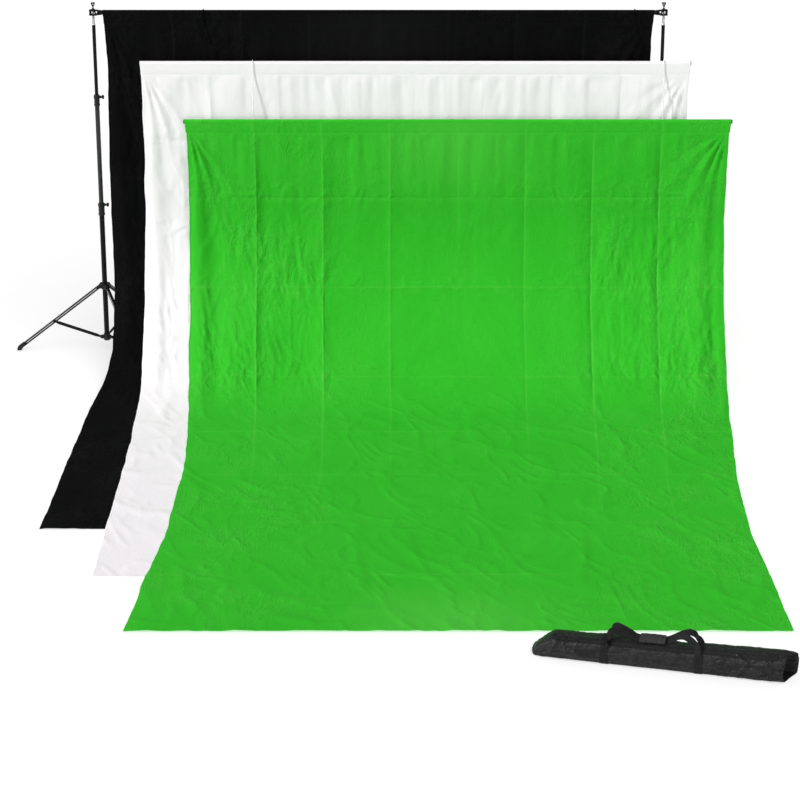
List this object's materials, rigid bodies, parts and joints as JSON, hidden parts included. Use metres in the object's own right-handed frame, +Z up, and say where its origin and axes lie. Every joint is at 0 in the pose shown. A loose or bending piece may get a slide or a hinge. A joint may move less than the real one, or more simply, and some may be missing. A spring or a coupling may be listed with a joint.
{
  "type": "background support system",
  "caption": "Portable studio backdrop support: two telescoping tripod stands, sectional crossbar, hung black, white and green muslins sweeping over the floor, and a carry bag.",
  "frame": {"origin": "on the floor, under the middle of the bounding box", "axes": "+Z up, +X along the crossbar towards the second stand, -Y from the stands towards the front edges of the sheets"},
  "size_m": [3.928, 4.3252, 1.9945],
  "materials": {
    "black_paint": "satin black powder coat",
    "tube_steel": "bright drawn tube",
    "zinc": "bright zinc plate",
    "black_plastic": "moulded, fine texture",
    "casting": "black die casting",
    "foot_rubber": "matt",
    "muslin_black": "matt woven muslin",
    "muslin_white": "matt woven muslin",
    "muslin_green": "matt woven muslin, chroma green",
    "bag_cloth": "coated plain weave",
    "webbing": "woven tape"
  },
  "bodies": {
    "root": {"lower_tube_left": "black_paint", "base_hub_left": "black_plastic", "lower_collar_left": "black_plastic", "lower_tube_right": "black_paint", "base_hub_right": "black_plastic", "lower_collar_right": "black_plastic", "black_muslin": "muslin_black", "white_muslin": "muslin_white", "green_muslin": "muslin_green", "bag_body": "bag_cloth", "bag_handles": "webbing", "bag_grip": "bag_cloth"},
    "upper": {"top_tube_left": "black_paint", "spigot_left": "zinc", "bracket_left": "casting", "top_tube_right": "black_paint", "spigot_right": "zinc", "bracket_right": "casting", "crossbar_1": "black_paint", "crossbar_2": "black_paint", "crossbar_3": "black_paint", "crossbar_4": "black_paint", "white_pole": "tube_steel", "green_pole": "tube_steel", "drop_hook_1": "black_paint", "drop_hook_2": "black_paint", "drop_hook_3": "zinc", "drop_hook_4": "zinc"},
    "mid_left": {"mid_tube_left": "tube_steel", "upper_collar_left": "black_plastic"},
    "upper_knob_left": {"upper_knob_left": "black_plastic"},
    "lower_knob_left": {"lower_knob_left": "black_plastic"},
    "bracket_screw_left": {"bracket_screw_left": "black_plastic"},
    "hub_left": {"leg_hub_left": "black_plastic"},
    "hub_knob_left": {"hub_knob_left": "black_plastic"},
    "leg_1_left_body": {"leg_1_left": "black_paint", "foot_1_left": "foot_rubber"},
    "brace_1_left_body": {"brace_1_left": "black_paint"},
    "leg_2_left_body": {"leg_2_left": "black_paint", "foot_2_left": "foot_rubber"},
    "brace_2_left_body": {"brace_2_left": "black_paint"},
    "leg_3_left_body": {"leg_3_left": "black_paint", "foot_3_left": "foot_rubber"},
    "brace_3_left_body": {"brace_3_left": "black_paint"},
    "mid_right": {"mid_tube_right": "tube_steel", "upper_collar_right": "black_plastic"},
    "upper_knob_right": {"upper_knob_right": "black_plastic"},
    "lower_knob_right": {"lower_knob_right": "black_plastic"},
    "bracket_screw_right": {"bracket_screw_right": "black_plastic"},
    "hub_right": {"leg_hub_right": "black_plastic"},
    "hub_knob_right": {"hub_knob_right": "black_plastic"},
    "leg_1_right_body": {"leg_1_right": "black_paint", "foot_1_right": "foot_rubber"},
    "brace_1_right_body": {"brace_1_right": "black_paint"},
    "leg_2_right_body": {"leg_2_right": "black_paint", "foot_2_right": "foot_rubber"},
    "brace_2_right_body": {"brace_2_right": "black_paint"},
    "leg_3_right_body": {"leg_3_right": "black_paint", "foot_3_right": "foot_rubber"},
    "brace_3_right_body": {"brace_3_right": "black_paint"}
  },
  "joints": [
    {"name": "bar_height", "type": "slide", "parent": "root", "child": "upper", "axis": [0, 0, 1], "range_m": [-0.75, 0.25], "deforming": ["black_muslin", "white_muslin", "green_muslin"]},
    {"name": "mid_slide_left", "type": "slide", "parent": "root", "child": "mid_left", "axis": [0, 0, 1], "range_m": [-0.413, 0.138]},
    {"name": "upper_knob_turn_left", "type": "hinge", "parent": "mid_left", "child": "upper_knob_left", "pos_m": [-1.423, 1.71892, 1.47], "axis": [1, 0, 0], "range_deg": [0, 360]},
    {"name": "lower_knob_turn_left", "type": "hinge", "parent": "root", "child": "lower_knob_left", "pos_m": [-1.423, 1.71892, 0.857], "axis": [1, 0, 0], "range_deg": [0, 360]},
    {"name": "bracket_screw_turn_left", "type": "hinge", "parent": "upper", "child": "bracket_screw_left", "pos_m": [-1.458, 1.71892, 1.956], "axis": [0, 0, 1], "range_deg": [0, 360]},
    {"name": "leg_fold_left", "type": "slide", "parent": "root", "child": "hub_left", "axis": [0, 0, 1], "range_m": [0, 0.3043]},
    {"name": "hub_knob_turn_left", "type": "hinge", "parent": "hub_left", "child": "hub_knob_left", "pos_m": [-1.4755, 1.74923, 0.381], "axis": [-0.5, 0.866, 0], "range_deg": [0, 360]},
    {"name": "leg_1_hinge_left", "type": "hinge", "parent": "hub_left", "child": "leg_1_left_body", "pos_m": [-1.488, 1.71892, 0.38], "axis": [0, -1, 0], "range_deg": [0, 47.05]},
    {"name": "brace_1_hinge_left", "type": "hinge", "parent": "root", "child": "brace_1_left_body", "pos_m": [-1.488, 1.71892, 0.084], "axis": [0, 1, 0], "range_deg": [0, 65.2]},
    {"name": "leg_2_hinge_left", "type": "hinge", "parent": "hub_left", "child": "leg_2_left_body", "pos_m": [-1.443, 1.7449, 0.38], "axis": [-0.866, 0.5, 0], "range_deg": [0, 47.05]},
    {"name": "brace_2_hinge_left", "type": "hinge", "parent": "root", "child": "brace_2_left_body", "pos_m": [-1.443, 1.7449, 0.084], "axis": [0.866, -0.5, 0], "range_deg": [0, 65.2]},
    {"name": "leg_3_hinge_left", "type": "hinge", "parent": "hub_left", "child": "leg_3_left_body", "pos_m": [-1.443, 1.69294, 0.38], "axis": [0.866, 0.5, 0], "range_deg": [0, 47.05]},
    {"name": "brace_3_hinge_left", "type": "hinge", "parent": "root", "child": "brace_3_left_body", "pos_m": [-1.443, 1.69294, 0.084], "axis": [-0.866, -0.5, 0], "range_deg": [0, 65.2]},
    {"name": "mid_slide_right", "type": "slide", "parent": "root", "child": "mid_right", "axis": [0, 0, 1], "range_m": [-0.413, 0.138]},
    {"name": "upper_knob_turn_right", "type": "hinge", "parent": "mid_right", "child": "upper_knob_right", "pos_m": [1.617, 1.71892, 1.47], "axis": [1, 0, 0], "range_deg": [0, 360]},
    {"name": "lower_knob_turn_right", "type": "hinge", "parent": "root", "child": "lower_knob_right", "pos_m": [1.617, 1.71892, 0.857], "axis": [1, 0, 0], "range_deg": [0, 360]},
    {"name": "bracket_screw_turn_right", "type": "hinge", "parent": "upper", "child": "bracket_screw_right", "pos_m": [1.582, 1.71892, 1.956], "axis": [0, 0, 1], "range_deg": [0, 360]},
    {"name": "leg_fold_right", "type": "slide", "parent": "root", "child": "hub_right", "axis": [0, 0, 1], "range_m": [0, 0.3043]},
    {"name": "hub_knob_turn_right", "type": "hinge", "parent": "hub_right", "child": "hub_knob_right", "pos_m": [1.5645, 1.74923, 0.381], "axis": [-0.5, 0.866, 0], "range_deg": [0, 360]},
    {"name": "leg_1_hinge_right", "type": "hinge", "parent": "hub_right", "child": "leg_1_right_body", "pos_m": [1.552, 1.71892, 0.38], "axis": [0, -1, 0], "range_deg": [0, 47.05]},
    {"name": "brace_1_hinge_right", "type": "hinge", "parent": "root", "child": "brace_1_right_body", "pos_m": [1.552, 1.71892, 0.084], "axis": [0, 1, 0], "range_deg": [0, 65.2]},
    {"name": "leg_2_hinge_right", "type": "hinge", "parent": "hub_right", "child": "leg_2_right_body", "pos_m": [1.597, 1.7449, 0.38], "axis": [-0.866, 0.5, 0], "range_deg": [0, 47.05]},
    {"name": "brace_2_hinge_right", "type": "hinge", "parent": "root", "child": "brace_2_right_body", "pos_m": [1.597, 1.7449, 0.084], "axis": [0.866, -0.5, 0], "range_deg": [0, 65.2]},
    {"name": "leg_3_hinge_right", "type": "hinge", "parent": "hub_right", "child": "leg_3_right_body", "pos_m": [1.597, 1.69294, 0.38], "axis": [0.866, 0.5, 0], "range_deg": [0, 47.05]},
    {"name": "brace_3_hinge_right", "type": "hinge", "parent": "root", "child": "brace_3_right_body", "pos_m": [1.597, 1.69294, 0.084], "axis": [-0.866, -0.5, 0], "range_deg": [0, 65.2]}
  ],
  "couplings": [
    {"joint": "mid_slide_left", "follows": "bar_height", "ratio": 0.55},
    {"joint": "leg_1_hinge_left", "follows": "leg_fold_left", "rad_per_m": 2.6957},
    {"joint": "brace_1_hinge_left", "follows": "leg_fold_left", "rad_per_m": 3.7356},
    {"joint": "leg_2_hinge_left", "follows": "leg_fold_left", "rad_per_m": 2.6957},
    {"joint": "brace_2_hinge_left", "follows": "leg_fold_left", "rad_per_m": 3.7356},
    {"joint": "leg_3_hinge_left", "follows": "leg_fold_left", "rad_per_m": 2.6957},
    {"joint": "brace_3_hinge_left", "follows": "leg_fold_left", "rad_per_m": 3.7356},
    {"joint": "mid_slide_right", "follows": "bar_height", "ratio": 0.55},
    {"joint": "leg_1_hinge_right", "follows": "leg_fold_right", "rad_per_m": 2.6957},
    {"joint": "brace_1_hinge_right", "follows": "leg_fold_right", "rad_per_m": 3.7356},
    {"joint": "leg_2_hinge_right", "follows": "leg_fold_right", "rad_per_m": 2.6957},
    {"joint": "brace_2_hinge_right", "follows": "leg_fold_right", "rad_per_m": 3.7356},
    {"joint": "leg_3_hinge_right", "follows": "leg_fold_right", "rad_per_m": 2.6957},
    {"joint": "brace_3_hinge_right", "follows": "leg_fold_right", "rad_per_m": 3.7356}
  ]
}
